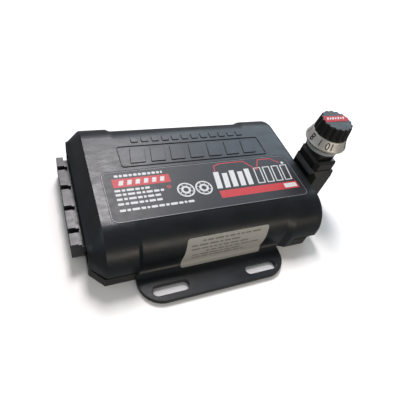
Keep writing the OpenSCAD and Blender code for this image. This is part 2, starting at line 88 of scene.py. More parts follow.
# The bevelled end around the header: the height and rounding of its rim, its length and side chamfer
RIM_Z = 14.6
RIM_R = 3.0
RIM_ROUND = 0.9
BEVEL_L = 5.9
CHAMFER_Y = 6.3

# The side recesses: depth, (outer, inner) X of each end, and how far the right end leans per height
RECESS_D = 1.5
RECESS_LEFT = (-33.5, -31.8)
RECESS_RIGHT = (39.8, 36.8)
RECESS_LEAN = -0.06

# The flanges, their slots, and the span of the skirt that reaches down to the mounting plane
SKIRT = (-33.8, 43.6)
FLANGE_T = 2.2
FLANGE_EDGE = 0.3
FLANGE_HALF_L = 34.6
FLANGE_Y = HOUSING_HIGH.y
FLANGE_R = 10.5
FILLET_R = 3.0
SLOT_PITCH = 43.0
SLOT_ROWS = 93.3
SLOT_L = 15.7
SLOT_W = 4.4

# The knob: its axis, radii and heights, and the dial's marks, 0 to 10
KNOB_X = (CAP_LOW.x + CAP_HIGH.x) / 2
KNOB_Y = (CAP_LOW.y + CAP_HIGH.y) / 2
DIAL_R = (DIAL_HIGH.x - DIAL_LOW.x) / 2
CAP_R = (CAP_HIGH.x - CAP_LOW.x) / 2
CAP_BASE = DIAL_HIGH.z
CAP_TOP = BADGE_LOW.z
MARK_STEP = 30
MARKS = 11
REST_MARK = 8
CAP_TAPER = 0.75
CAP_DISH = 0.04
DIAL_LIP = 0.8
DIAL_TOP_GAP = 0.25
DIAL_BULGE = 0.9

# Printed films, thinner than the CAD model carries
INK_T = 0.02


# ---------------------------------------------------------------- mesh helpers


def add_object(name, mesh, body, material):
    """Links a mesh as a piece that rides on a body."""
    piece = bpy.data.objects.new(name, mesh)
    bpy.context.scene.collection.objects.link(piece)
    mesh.materials.clear()
    mesh.materials.append(material)
    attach(piece, body)
    return piece


def mesh_from(name, verts, faces):
    """A mesh from points in millimetres."""
    mesh = bpy.data.meshes.new(name)
    mesh.from_pydata([Vector(v) * MM for v in verts], [], faces)
    mesh.validate()
    return mesh


def shade(mesh, angle=35, flat_tops=False):
    """Smooth shading with sharp edges where faces meet at more than an angle.

    flat_tops also keeps level faces from being shaded into the rounding next to them.
    """
    bm = bmesh.new()
    bm.from_mesh(mesh)
    bmesh.ops.recalc_face_normals(bm, faces=bm.faces)
    limit = math.radians(angle)
    for face in bm.faces:
        face.smooth = True
    for edge in bm.edges:
        if len(edge.link_faces) == 2:
            level = [abs(face.normal.z) > 0.9999 for face in edge.link_faces]
            edge.smooth = edge.calc_face_angle(0) < limit and not (flat_tops and level[0] != level[1])
    bm.to_mesh(mesh)
    bm.free()
    return mesh


def temporary(data):
    """An object that only lives until its mesh is made."""
    piece = bpy.data.objects.new("temporary", data)
    bpy.context.scene.collection.objects.link(piece)
    return piece


def baked(piece):
    """The piece's mesh with its modifiers applied."""
    bpy.context.view_layer.update()
    graph = bpy.context.evaluated_depsgraph_get()
    return bpy.data.meshes.new_from_object(piece.evaluated_get(graph))


def flattened(curve):
    """The mesh of a curve or a text."""
    helper = temporary(curve)
    mesh = baked(helper)
    bpy.data.objects.remove(helper)
    return mesh


def cut(mesh, cutters):
    """The mesh with each of the cutter meshes taken out of it."""
    target = temporary(mesh)
    helpers = []
    for cutter in cutters:
        helper = temporary(cutter)
        helpers.append(helper)
        modifier = target.modifiers.new("cut", "BOOLEAN")
        modifier.operation = "DIFFERENCE"
        modifier.object = helper
        modifier.solver = "EXACT"
    result = baked(target)
    for helper in helpers + [target]:
        bpy.data.objects.remove(helper)
    return result


def joined(meshes):
    """One mesh with all the given meshes in it."""
    bm = bmesh.new()
    for mesh in meshes:
        bm.from_mesh(mesh)
    result = bpy.data.meshes.new("joined")
    bm.to_mesh(result)
    bm.free()
    return result


def welded(mesh, distance):
    """The mesh with its double points merged and its faces turned outwards."""
    bm = bmesh.new()
    bm.from_mesh(mesh)
    bmesh.ops.remove_doubles(bm, verts=bm.verts, dist=distance)
    bmesh.ops.recalc_face_normals(bm, faces=bm.faces)
    bm.to_mesh(mesh)
    bm.free()
    return mesh


def box_mesh(low, high):
    """A box between two corners."""
    verts = [(x, y, z) for z in (low[2], high[2]) for y in (low[1], high[1]) for x in (low[0], high[0])]
    faces = [(0, 2, 3, 1), (4, 5, 7, 6), (0, 1, 5, 4), (2, 6, 7, 3), (0, 4, 6, 2), (1, 3, 7, 5)]
    return mesh_from("box", verts, faces)


def arc(cx, cy, r, start, end, steps):
    """Points of an arc from one angle to another, in degrees."""
    points = []
    for i in range(steps + 1):
        a = math.radians(start + (end - start) * i / steps)
        points.append((cx + r * math.cos(a), cy + r * math.sin(a)))
    return points


def rounded_rect(x, y, r, steps=8):
    """Outline of a rectangle between two X and two Y values, with round corners."""
    points = []
    left, right, low, high = x[0] + r, x[1] - r, y[0] + r, y[1] - r
    for cx, cy, start in ((right, high, 0), (left, high, 90), (left, low, 180), (right, low, 270)):
        points += arc(cx, cy, r, start, start + 90, steps)
    return points


def ring(cx, cy, r, steps=32):
    """Outline of a circle."""
    return arc(cx, cy, r, 0, 360, steps)[:-1]


def outline_curve(outlines):
    """A filled flat curve through closed outlines, in which an inner outline is a hole."""
    curve = bpy.data.curves.new("outline", "CURVE")
    curve.dimensions = "2D"
    curve.fill_mode = "BOTH"
    for outline in outlines:
        spline = curve.splines.new("POLY")
        spline.points.add(len(outline) - 1)
        for point, (x, y) in zip(spline.points, outline):
            point.co = (x * MM, y * MM, 0, 1)
        spline.use_cyclic_u = True
    return curve


def plate(outlines, z0, z1, bevel=0.0, rounds=3):
    """A flat plate with holes from 2D outlines, with its edges rounded by bevel."""
    curve = outline_curve(outlines)
    curve.extrude = (z1 - z0) * MM / 2 - bevel * MM
    curve.bevel_depth = bevel * MM
    curve.bevel_resolution = rounds
    curve.offset = -bevel * MM
    mesh = flattened(curve)
    mesh.transform(Matrix.Translation((0, 0, (z0 + z1) * MM / 2)))
    return welded(mesh, 1e-6)


def ring_faces(rings, count):
    """Faces between each ring of points and the next one."""
    faces = []
    for i in range(rings - 1):
        for j in range(count):
            m = (j + 1) % count
            faces.append((i * count + j, i * count + m, (i + 1) * count + m, (i + 1) * count + j))
    return faces


def revolve(profile, centre, steps):
    """A mesh of revolution from a closed profile of (radius, z) points about a vertical axis."""
    count = len(profile)
    verts, faces = [], []
    for i in range(steps):
        a = 2 * math.pi * i / steps
        verts += [(centre[0] + r * math.cos(a), centre[1] + r * math.sin(a), z) for r, z in profile]
        k = (i + 1) % steps
        for j in range(count):
            m = (j + 1) % count
            faces.append((i * count + j, k * count + j, k * count + m, i * count + m))
    return mesh_from("revolved", verts, faces)


# ---------------------------------------------------------------- materials


class Nodes:
    """Short forms for building one material's node tree."""

    def __init__(self, name):
        self.material = bpy.data.materials.new(name)
        self.material.use_nodes = True
        self.tree = self.material.node_tree
        self.shader = self.tree.nodes["Principled BSDF"]
        self.place = self.tree.nodes.new("ShaderNodeTexCoord").outputs["Object"]

    def link(self, a, b):
        """Joins an output to an input."""
        self.tree.links.new(a, b)

    def set(self, **values):
        """Sets the shader's own sockets."""
        names = {
            "rough": "Roughness", "metal": "Metallic", "ior": "IOR",
            "coat": "Coat Weight", "coat_rough": "Coat Roughness",
            "specular": "Specular IOR Level", "through": "Transmission Weight",
        }
        for key, value in values.items():
            self.shader.inputs[names[key]].default_value = value
        return self

    def noise(self, scale, detail, rough=0.5, stretch=None):
        """Noise from 0 to 1, stretched along the axes if asked."""
        node = self.tree.nodes.new("ShaderNodeTexNoise")
        node.inputs["Scale"].default_value = scale
        node.inputs["Detail"].default_value = detail
        node.inputs["Roughness"].default_value = rough
        source = self.place
        if stretch:
            mapping = self.tree.nodes.new("ShaderNodeMapping")
            mapping.inputs["Scale"].default_value = stretch
            self.link(self.place, mapping.inputs["Vector"])
            source = mapping.outputs["Vector"]
        self.link(source, node.inputs["Vector"])
        return node.outputs["Fac"]

    def cells(self, scale, feature="F1"):
        """Distance to the nearest points of a cell pattern."""
        node = self.tree.nodes.new("ShaderNodeTexVoronoi")
        node.feature = feature
        node.inputs["Scale"].default_value = scale
        self.link(self.place, node.inputs["Vector"])
        return node.outputs["Distance"]

    def span(self, value, low, high, from_low=0.0, from_high=1.0):
        """Maps a value from one range to another."""
        node = self.tree.nodes.new("ShaderNodeMapRange")
        node.inputs["From Min"].default_value = from_low
        node.inputs["From Max"].default_value = from_high
        node.inputs["To Min"].default_value = low
        node.inputs["To Max"].default_value = high
        self.link(value, node.inputs["Value"])
        return node.outputs["Result"]

    def blend(self, factor, a, b):
        """Mixes two colours, each a tuple or an output."""
        node = self.tree.nodes.new("ShaderNodeMix")
        node.data_type = "RGBA"
        self.link(factor, node.inputs["Factor"])
        for socket, value in ((node.inputs[6], a), (node.inputs[7], b)):
            if isinstance(value, tuple):
                socket.default_value = (*value[:3], 1)
            else:
                self.link(value, socket)
        return node.outputs[2]

    def bump(self, height, strength, distance, below=None):
        """Relief of the shader's normal, on top of the relief below."""
        node = self.tree.nodes.new("ShaderNodeBump")
        node.inputs["Strength"].default_value = strength
        node.inputs["Distance"].default_value = distance
        self.link(height, node.inputs["Height"])
        if below:
            self.link(below, node.inputs["Normal"])
        self.link(node.outputs["Normal"], self.shader.inputs["Normal"])
        return node.outputs["Normal"]

    def color(self, value):
        """Links the shader's colour."""
        self.link(value, self.shader.inputs["Base Color"])
        return self

    def rough(self, value):
        """Links the shader's roughness."""
        self.link(value, self.shader.inputs["Roughness"])
        return self

    def worn(self, color, worn_color, amount):
        """Colour that turns some way to worn_color along convex edges."""
        geometry = self.tree.nodes.new("ShaderNodeNewGeometry")
        edge = self.span(geometry.outputs["Pointiness"], 0.0, amount, 0.52, 0.6)
        return self.blend(edge, color, worn_color)


def moulded(name, color, rough, grain, grain_depth, light=1.5, specular=0.3, strength=0.25):
    """Moulded plastic with a fine spark-eroded grain, faint handling marks and worn edges."""
    n = Nodes(name)
    n.set(specular=specular)
    pale = tuple(min(1.0, c * light + 0.0015) for c in color)
    cloud = n.noise(70, 4)
    base = n.blend(n.span(cloud, 0.0, 1.0, 0.35, 0.65), color, pale)
    n.color(n.worn(base, tuple(min(1.0, c * 2 + 0.003) for c in color), 0.5))
    smear = n.noise(160, 5, 0.6, (1, 2.5, 1))
    n.rough(n.span(smear, rough - 0.05, rough + 0.07, 0.3, 0.7))
    fine = n.noise(grain, 2, 0.6)
    coarse = n.noise(grain / 6, 2)
    under = n.bump(coarse, strength * 0.5, grain_depth)
    n.bump(fine, strength, grain_depth, under)
    return n.material


def metal(name, color, rough):
    """Plated or turned metal with fine lines and dull patches."""
    n = Nodes(name)
    n.set(metal=1.0)
    cloud = n.noise(220, 4)
    dull = tuple(c * 0.72 for c in color)
    n.color(n.blend(n.span(cloud, 0, 0.7, 0.35, 0.7), color, dull))
    lines = n.noise(900, 2, 0.5, (1, 1, 6))
    n.rough(n.span(lines, rough - 0.08, rough + 0.14, 0.3, 0.7))
    n.bump(lines, 0.12, 0.00004)
    return n.material


def printed(name, color, rough, specular=0.35):
    """Ink on a film: even, with a faint mottle and a little relief."""
    n = Nodes(name)
    n.set(specular=specular)
    mottle = n.noise(2400, 2)
    dim = tuple(c * 0.86 for c in color)
    n.color(n.blend(n.span(mottle, 0, 1, 0.35, 0.65), color, dim))
    n.rough(n.span(n.noise(400, 2), rough - 0.05, rough + 0.08))
    n.bump(mottle, 0.1, 0.00003)
    return n.material


def circuit_board():
    """Green solder mask with a pattern of tracks."""
    n = Nodes("circuit_board")
    n.set(coat=0.4, coat_rough=0.15)
    tracks = n.cells(900, "F2")
    n.color(n.blend(n.span(tracks, 0, 1, 0.3, 0.6), (0.02, 0.16, 0.07), (0.05, 0.26, 0.12)))
    n.rough(n.span(n.noise(500, 2), 0.25, 0.4))
    n.bump(tracks, 0.2, 0.00005)
    return n.material


def translucent(name, color, through, rough):
    """Milky clear plastic."""
    n = Nodes(name)
    n.set(through=through, ior=1.46)
    cloud = n.noise(260, 3)
    n.color(n.blend(n.span(cloud, 0, 1, 0.35, 0.65), color, tuple(c * 0.85 for c in color)))
    n.rough(n.span(n.noise(700, 3), rough - 0.06, rough + 0.1))
    n.bump(n.noise(1500, 2), 0.08, 0.00004)
    return n.material


def silvered(name, color):
    """Silver-white dial plastic with a satin metallic flake."""
    n = Nodes(name)
    n.set(metal=0.35, coat=0.35, coat_rough=0.2)
    flake = n.cells(4200)
    n.color(n.blend(n.span(flake, 0, 1, 0.2, 0.6), color, tuple(c * 0.8 for c in color)))
    n.rough(n.span(n.noise(500, 3), 0.3, 0.45))
    n.bump(flake, 0.08, 0.00003)
    return n.material


HOUSING = moulded(
    "housing_plastic", (0.0035, 0.005, 0.0065), 0.35, 1500, 0.00009, specular=0.27, strength=0.35)
COVER = moulded("cover_plastic", (0.005, 0.005, 0.0045), 0.4, 1500, 0.00008, specular=0.2)
CONNECTOR = moulded("connector_plastic", (0.013, 0.0135, 0.016), 0.34, 2200, 0.00004)
HEAD_CASE = moulded("head_plastic", (0.004, 0.004, 0.0038), 0.3, 1900, 0.00005, specular=0.5)
KNOB = moulded("knob_plastic", (0.006, 0.006, 0.006), 0.34, 2400, 0.00003, specular=0.2)
PACKAGE = moulded("moulded_package", (0.02, 0.02, 0.022), 0.5, 1800, 0.00004)
FERRITE = moulded("ferrite", (0.06, 0.08, 0.06), 0.55, 1400, 0.00006)
PLUNGER = moulded("plunger_plastic", (0.7, 0.7, 0.66), 0.4, 1800, 0.00003, light=0.9)
SLEEVE = moulded("capacitor_sleeve", (0.03, 0.05, 0.2), 0.25, 900, 0.00004)
LABEL = printed("label_film", (0.017, 0.018, 0.021), 0.4, 0.2)
RATING = printed("rating_film", (0.27, 0.265, 0.25), 0.42)
RATING_INK = printed("rating_ink", (0.12, 0.118, 0.11), 0.45)
# Grey ink for the line round the label's edge: a painted highlight of the pocket's rim
RIM_HIGHLIGHT_INK = printed("rim_highlight_ink", (0.15, 0.155, 0.165), 0.4)
WHITE_INK = printed("white_ink", (0.56, 0.56, 0.56), 0.45, 0.2)
RED_INK = printed("red_ink", (0.44, 0.03, 0.035), 0.42, 0.2)
MARK_INK = printed("mark_ink", (0.012, 0.012, 0.014), 0.4)
BADGE_RED = printed("badge_film", (0.4, 0.03, 0.035), 0.4, 0.1)
SCREW = metal("screw_steel", (0.62, 0.62, 0.63), 0.35)
TERMINAL = metal("terminal_metal", (0.72, 0.66, 0.5), 0.32)
CONTACT = metal("contact_metal", (0.83, 0.63, 0.28), 0.25)
SPREADER = metal("spreader_metal", (0.7, 0.71, 0.72), 0.4)
WINDING = metal("winding_wire", (0.6, 0.28, 0.12), 0.3)
SHUNT = metal("shunt_metal", (0.45, 0.42, 0.38), 0.4)
ENCODER = metal("encoder_metal", (0.45, 0.46, 0.47), 0.35)
BRASS = metal("bush_brass", (0.66, 0.53, 0.28), 0.28)
SPRING = metal("spring_steel", (0.6, 0.6, 0.62), 0.25)
SHAFT = metal("shaft_metal", (0.7, 0.7, 0.72), 0.3)
GUIDE = translucent("guide_plastic", (0.5, 0.54, 0.55), 0.55, 0.3)
LED = translucent("led_resin", (0.9, 0.9, 0.86), 0.6, 0.15)
DIAL = silvered("dial_plastic", (0.4, 0.385, 0.365))
BOARD = circuit_board()

NODE_MATERIALS = {
    "base_cover": COVER, "base_screws": SCREW, "top_label": LABEL, "wiring_header": CONNECTOR,
    "header_terminals": TERMINAL, "remote_jack": CONNECTOR, "remote_jack_contacts": CONTACT,
    "main_board": BOARD, "board_screws": SCREW, "power_transistors": PACKAGE,
    "heat_spreader": SPREADER, "capacitors": SLEEVE, "choke_core": FERRITE, "choke_winding": WINDING,
    "current_shunt": SHUNT, "microcontroller": PACKAGE, "motion_sensor": PACKAGE,
    "head_lower_case": HEAD_CASE, "head_upper_case": HEAD_CASE, "head_jack": CONNECTOR,
    "head_jack_contacts": CONTACT, "head_board": BOARD, "status_leds": LED,
    "encoder_body": ENCODER, "encoder_bush": BRASS, "bush_nut": BRASS, "light_guide": GUIDE,
    "switch_plunger": PLUNGER, "return_spring": SPRING, "encoder_shaft": SHAFT, "dial": DIAL,
    "dial_marks": MARK_INK, "knob_cap": KNOB, "cap_badge": BADGE_RED, "upper_housing": HOUSING,
    "rating_label": RATING,
}
EDGE_ROUNDS = {
    "base_cover": 0.3, "wiring_header": 0.25, "head_lower_case": 0.35, "head_upper_case": 0.35,
    "remote_jack": 0.15, "head_jack": 0.15, "heat_spreader": 0.3, "power_transistors": 0.2,
}


def dress_cad_nodes():
    """Gives each CAD node its material, and softens the edges of the mouldings."""
    for name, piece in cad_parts.items():
        piece.data.materials.clear()
        piece.data.materials.append(NODE_MATERIALS[name])
        if name in EDGE_ROUNDS:
            bevel = piece.modifiers.new("edges", "BEVEL")
            bevel.width = EDGE_ROUNDS[name] * MM
            bevel.segments = 2
            bevel.limit_method = "ANGLE"
            bevel.angle_limit = math.radians(32)
            bevel.harden_normals = False


# ---------------------------------------------------------------- upper housing


def soft_step(t, h):
    """A ramp from 0 to 1 with rounded ends."""

    def area(v):
        if v < 0:
            return 0.0
        return v * v / 2 if v < 1 else v - 0.5

    return (area(t + h) - area(t - h)) / (2 * h)


def section(loft, inset, shift, bottom):
    """Points (y, z) of one cross-section of the cover, over the top from front foot to rear foot.

    loft goes from 0 on the body to 1 at the rim of the header wall, inset draws the section in, and
    shift moves both sides in, as the recesses do. The points next to the flat top keep it flat.
    """
    w = HALF_W - CHAMFER_Y * loft - inset - shift
    top = TOP_Z - (TOP_Z - RIM_Z) * loft - inset
    r = max(EDGE_R + (RIM_R - EDGE_R) * loft - inset, 0.3)
    flat = w - r
    levels = 5
    side = [(-w, bottom + (top - r - bottom) * k / levels) for k in range(levels)]
    side += arc(-flat, top - r, r, 180, 90, 14)
    side += [(-flat + 0.4, top), (-flat * 0.6, top), (-flat * 0.2, top)]
    return side + [(-y, z) for y, z in reversed(side)]


def loft_shell(rows):
    """A closed mesh through rows of points, with flat ends and an underside."""
    count, last = len(rows[0]), len(rows) - 1
    faces = ring_faces(len(rows), count)
    faces.append(tuple(range(count)))
    faces.append(tuple(reversed(range(last * count, (last + 1) * count))))
    return shade(mesh_from("loft", [p for row in rows for p in row], faces))


def header_end_stations():
    """Cross-sections (x, loft, inset, recess, lean) from the rim of the header wall to the body."""
    stations = []
    for inset in (RIM_ROUND, 0.45, 0.15, 0.0):
        forward = math.sqrt(max(0.0, RIM_ROUND ** 2 - inset ** 2))
        back = RIM_ROUND - math.sqrt(max(0.0, RIM_ROUND ** 2 - (RIM_ROUND - inset) ** 2))
        stations.append((X_LEFT + RIM_ROUND - forward, 1.0 - back * 0.12, inset, 0.0, 0.0))
    for t in (0.8, 0.6, 0.4, 0.2, 0.1):
        stations.append((X_LEFT + BEVEL_L * (1 - t), t, 0.0, 0.0, 0.0))
    for t in (0.04, 0.012, 0.0):
        stations.append((X_LEFT + BEVEL_L * (1 - t) + (0.1 - t) * 2.0, t, 0.0, 0.0, 0.0))
    return stations


def recess_end_stations(ends, shares, softness, lean):
    """Cross-sections through one end of the recesses, from shares of the way in."""
    first, last = ends
    return [(first + (last - first) * t, 0.0, 0.0, soft_step(t, softness), lean) for t in shares]


def outer_stations():
    """(x, loft, inset, recess, lean) of each cross-section of the outside, from left to right."""
    into_left = (-0.3, -0.1, 0.05, 0.18, 0.5, 0.82, 0.95, 1.1, 1.3)
    out_of_right = (1.2, 1.06, 0.98, 0.9, 0.5, 0.1, 0.02, -0.06, -0.2)
    stations = header_end_stations()
    stations += [(x, 0.0, 0.0, 0.0, 0.0) for x in (-40.0, -36.0)]
    stations += recess_end_stations(RECESS_LEFT, into_left, 0.18, 0.0)
    stations += [(x, 0.0, 0.0, 1.0, 0.0) for x in (-24.0, -16.0, -8.0, 0.0, 8.0, 16.0, 24.0, 31.0)]
    stations += recess_end_stations(RECESS_RIGHT, out_of_right, 0.07, 1.0)
    stations += [(x, 0.0, 0.0, 0.0, 0.0) for x in (43.0, 47.0, 51.0, 53.0)]
    rounds = 7
    for k in range(rounds + 1):
        a = math.radians(90 * k / rounds)
        x = X_RIGHT - END_R * (1 - math.sin(a))
        stations.append((x, 0.0, END_R * (1 - math.cos(a)), 0.0, 0.0))
    return stations


def cover_outside():
    """The outer form of the case, down to the mounting plane."""
    rows = []
    for x, loft, inset, recess, lean in outer_stations():
        points = section(loft, inset, RECESS_D * recess, 0.0)
        rows.append([(x - lean * RECESS_LEAN * max(0.0, z - SEAM_Z), y, z) for y, z in points])
    return loft_shell(rows)


def cover_inside():
    """The hollow of the case, one wall thickness inside."""
    rows = []
    left, right = X_LEFT + WALL, X_RIGHT - WALL
    corner = 0.8
    for x, loft in ((left, 1.0), (left + BEVEL_L, 0.0), (right - 1.5, 0.0), (right, 0.0)):
        inset = WALL + (corner if x == right else 0.0)
        rows.append([(x, y, z) for y, z in section(loft, inset, RECESS_D * (1 - loft), -1.0)])
    return loft_shell(rows)


def flange(side):
    """A flange plate with round outer corners and two slots, on the front (-1) or the rear side."""
    corner = arc(FLANGE_HALF_L - FLANGE_R, FLANGE_Y - FLANGE_R, FLANGE_R, 0, 90, 14)
    right = [(FLANGE_HALF_L, HALF_W - 2.6)] + corner
    whole = right + [(-x, y) for x, y in reversed(right)]
    outlines = [[(x, side * y) for x, y in whole]]
    half, r = (SLOT_L - SLOT_W) / 2, SLOT_W / 2
    for middle in (-SLOT_PITCH / 2, SLOT_PITCH / 2):
        slot = arc(middle + half, 0, r, -90, 90, 12) + arc(middle - half, 0, r, 90, 270, 12)
        outlines.append([(x, side * SLOT_ROWS / 2 + y) for x, y in slot])
    return plate(outlines, 0.0, FLANGE_T, FLANGE_EDGE)


def fillet(side):
    """Concave strip between a recess floor and its flange."""
    wall = HALF_W - RECESS_D
    curve = arc(wall + FILLET_R, FLANGE_T + FILLET_R, FILLET_R, 180, 270, 10)
    profile = curve + [(wall + FILLET_R, 0.4), (wall - 1.0, 0.4), (wall - 1.0, FLANGE_T + FILLET_R)]
    end = FLANGE_HALF_L - 0.35
    rows = [[(x, side * y, z) for y, z in profile] for x in (-end, end)]
    return loft_shell(rows)


def raised_pattern():
    """Plain raised shapes on the top face: a frame, a row of slanted tiles in it and a row of studs."""
    z = (TOP_Z - 0.2, TOP_Z + RIB_H)
    x, y, line = (-31.9, 42.7), (3.5, 16.8), 0.55
    outer = rounded_rect(x, y, 1.2, 5)
    inner = rounded_rect((x[0] + line, x[1] - line), (y[0] + line, y[1] - line), 0.9, 5)
    parts = [plate([outer, inner], *z, 0.14, 2)]
    middle = ((x[0] + x[1]) / 2, (y[0] + y[1]) / 2)
    tiles, pitch, lean = 7, 9.6, 0.17
    upright = rounded_rect((-3.5, 3.5), (-4.7, 4.7), 0.5, 4)
    for k in range(tiles):
        cx = middle[0] + (k - (tiles - 1) / 2) * pitch
        tile = [(cx + px + lean * py, middle[1] + py) for px, py in upright]
        parts.append(plate([tile], *z, 0.16, 2))
    studs, pitch, size, cy = 12, 5.1, 1.7, 20.4
    for k in range(studs):
        cx = middle[0] + (k - (studs - 1) / 2) * pitch
        stud = rounded_rect((cx - size, cx + size), (cy - size, cy + size), 0.4, 4)
        parts.append(plate([stud], *z, 0.16, 2))
    return parts


def housing_cutters():
    """What is cut out of the case: its hollow, the windows of both sockets and the label's pocket."""
    fit, pocket_d, pocket_r = 0.1, 0.45, 3
    below = [
        box_mesh((X_LEFT - 5, -60, -2), (SKIRT[0], 60, SEAM_Z)),
        box_mesh((SKIRT[1], -60, -2), (X_RIGHT + 5, 60, SEAM_Z)),
    ]
    header = box_mesh((X_LEFT - 3, HEADER_LOW.y, -2), (X_LEFT + 4, HEADER_HIGH.y, HEADER_HIGH.z))
    jack_low = (X_RIGHT - 4, JACK_LOW.y - fit, -2)
    jack = box_mesh(jack_low, (X_RIGHT + 2, JACK_HIGH.y + fit, JACK_HIGH.z + fit))
    pocket = plate([label_outline(-0.15, pocket_r)], TOP_Z - pocket_d, TOP_Z + 3)
    return [cover_inside()] + below + [header, jack, pocket]


def build_housing():
    """The housing in one piece: walls, both flanges and the raised pattern on top."""
    shell = cut(cover_outside(), housing_cutters())
    walls = shade(joined([shell, fillet(-1), fillet(1)]), 30)
    plates = shade(joined([flange(-1), flange(1)] + raised_pattern()), 30, True)
    piece = add_object("housing_shell", joined([walls, plates]), "main_unit", HOUSING)
    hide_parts("upper_housing")


# ---------------------------------------------------------------- labels


def print_piece(name, shapes, z, body, material):
    """Thin printed shapes, each given as a list of outlines, at a height."""
    mesh = joined([plate(outlines, z, z + INK_T) for outlines in shapes])
    return add_object(name, mesh, body, material)


def rect(x0, x1, y0, y1):
    """Corners of a rectangle."""
    return [(x0, y0), (x1, y0), (x1, y1), (x0, y1)]


def stroke(path, width):
    """Outline of a line of constant width along an open path."""
    left, right = [], []
    for i, (x, y) in enumerate(path):
        before = Vector(path[max(i - 1, 0)])
        after = Vector(path[min(i + 1, len(path) - 1)])
        here = Vector((x, y))
        a = (here - before).normalized() if i else (after - here).normalized()
        b = (after - here).normalized() if i < len(path) - 1 else a
        normal = Vector((-(a + b).y, (a + b).x)).normalized()
        reach = width / 2 / max(0.4, normal.dot(Vector((-a.y, a.x))))
        left.append((x + normal.x * reach, y + normal.y * reach))
        right.append((x - normal.x * reach, y - normal.y * reach))
    return left + right[::-1]


def dashes(x0, x1, y, h, widths=(2.4, 1.5, 3.1, 1.9, 1.2, 2.7), gap=0.55):
    """A row of plain dashes that stands for a line of small print."""
    shapes = []
    x = x0
    while x < x1 - 0.8:
        end = min(x + widths[len(shapes) % len(widths)], x1)
        shapes.append([rounded_rect((x, end), (y - h / 2, y + h / 2), min(h, end - x) * 0.25, 2)])
        x = end + gap
    return shapes


def label_outline(inset, r):
    """Rounded outline of the top label, drawn in by inset."""
    x = (LABEL_LOW.x + inset, LABEL_HIGH.x - inset)
    y = (LABEL_LOW.y + inset, LABEL_HIGH.y - inset)
    return rounded_rect(x, y, r)


def small_print():
    """Rows of dashes on the left of the label."""
    shapes = dashes(-36.4, -15.2, -1.2, 1.3, (1.6, 1.3, 1.9, 1.4), 0.5)
    for y, end in ((-9.3, -22.9), (-11.5, -16.4), (-13.9, -18.2), (-16.4, -18.4), (-19.6, -5.8)):
        shapes += dashes(-37.8, end, y, 1.15)
    return shapes


def ring_symbols():
    """Two plain symbols of rings with dots between them."""
    shapes = []
    dots = 8
    for cx, cy in ((-7.7, -13.1), (0.8, -13.2)):
        shapes.append([ring(cx, cy, 4.0), ring(cx, cy, 3.3)])
        shapes.append([ring(cx, cy, 2.2), ring(cx, cy, 1.2)])
        for k in range(dots):
            a = math.radians(360 / dots * k + 22)
            shapes.append([ring(cx + 2.75 * math.cos(a), cy + 2.75 * math.sin(a), 0.28, 10)])
    return shapes


def large_bars():
    """Five solid bars, four outlined ones and a dot, in the place of a large name."""
    shapes = []
    low, high, lean = -14.9, -4.9, 1.5
    for k in range(5):
        x = 6.9 + k * 4.05
        top = high - 1.2 * (k % 2)
        shapes.append([[(x, low), (x + 2.7, low), (x + 2.7 + lean, top), (x + lean, top)]])
    for k in range(4):
        x = 28.4 + k * 5.1
        outer = [(x, low), (x + 4.0, low), (x + 4.0 + lean, high), (x + lean, high)]
        y0, y1 = low + 0.5, high - 0.5
        shapes.append([outer, [(x + 0.6, y0), (x + 3.5, y0), (x + 3.4 + lean, y1), (x + 0.5 + lean, y1)]])
    shapes.append([ring(47.8, -3.6, 0.8, 20)])
    return shapes


def red_shapes():
    """The red block, the long bar, a small ring and a plain bent line."""
    path = [(9.5, -5.0), (10.2, -1.2), (13.5, 0.1), (26.5, 0.1), (31.5, -6.4), (35.0, 0.1), (42.0, 0.1)]
    return [
        [rect(-37.8, -12.8, -7.6, -2.8)],
        [rect(7.0, 48.8, -20.4, -16.2)],
        [ring(-14.6, -10.2, 0.9, 20), ring(-14.6, -10.2, 0.45, 20)],
        [stroke(path + [(46.2, -3.4)], 0.5)],
    ]


def over_red():
    """White shapes on top of the red ones."""
    shapes = []
    for k in range(6):
        x = -35.6 + k * 3.6
        shapes.append([[(x, -6.5), (x + 1.9, -6.5), (x + 2.7, -3.9), (x + 0.8, -3.9)]])
    return shapes + [[rounded_rect((41.0, 48.0), (-19.6, -17.0), 0.3, 2)]]


def build_top_label():
    """The print on the film in the top recess, in its own colours, above the film of the CAD model, and a
    grey line round its edge that is a painted highlight of the pocket's rim.
    """
    z = LABEL_HIGH.z
    white = small_print() + ring_symbols() + large_bars()
    # A thin grey line just inside the label's edge: a painted highlight where the pocket's rim catches
    # the light
    border = [label_outline(0.1, 2.8), label_outline(0.36, 2.6)]
    for name, shapes, level, ink in (
        ("label_print_white", white, z, WHITE_INK),
        ("label_print_red", red_shapes(), z, RED_INK),
        ("label_print_over", over_red(), z + INK_T, WHITE_INK),
        ("label_rim_highlight", [border], z, RIM_HIGHLIGHT_INK),
    ):
        print_piece(name, shapes, level, "main_unit", ink)


def wall_point(x, s, lift):
    """A point on the front recess, s millimetres up from the top of the fillet, lifted off the wall."""
    wall = HALF_W - RECESS_D
    straight = TOP_Z - EDGE_R - (FLANGE_T + FILLET_R)
    if s < 0:
        a = -s / FILLET_R
        r = FILLET_R - lift
        return (x, -(wall + FILLET_R - r * math.cos(a)), FLANGE_T + FILLET_R - r * math.sin(a))
    if s < straight:
        return (x, -(wall + lift), FLANGE_T + FILLET_R + s)
    a = (s - straight) / EDGE_R
    r = EDGE_R + lift
    return (x, -(wall - EDGE_R + r * math.cos(a)), TOP_Z - EDGE_R + r * math.sin(a))


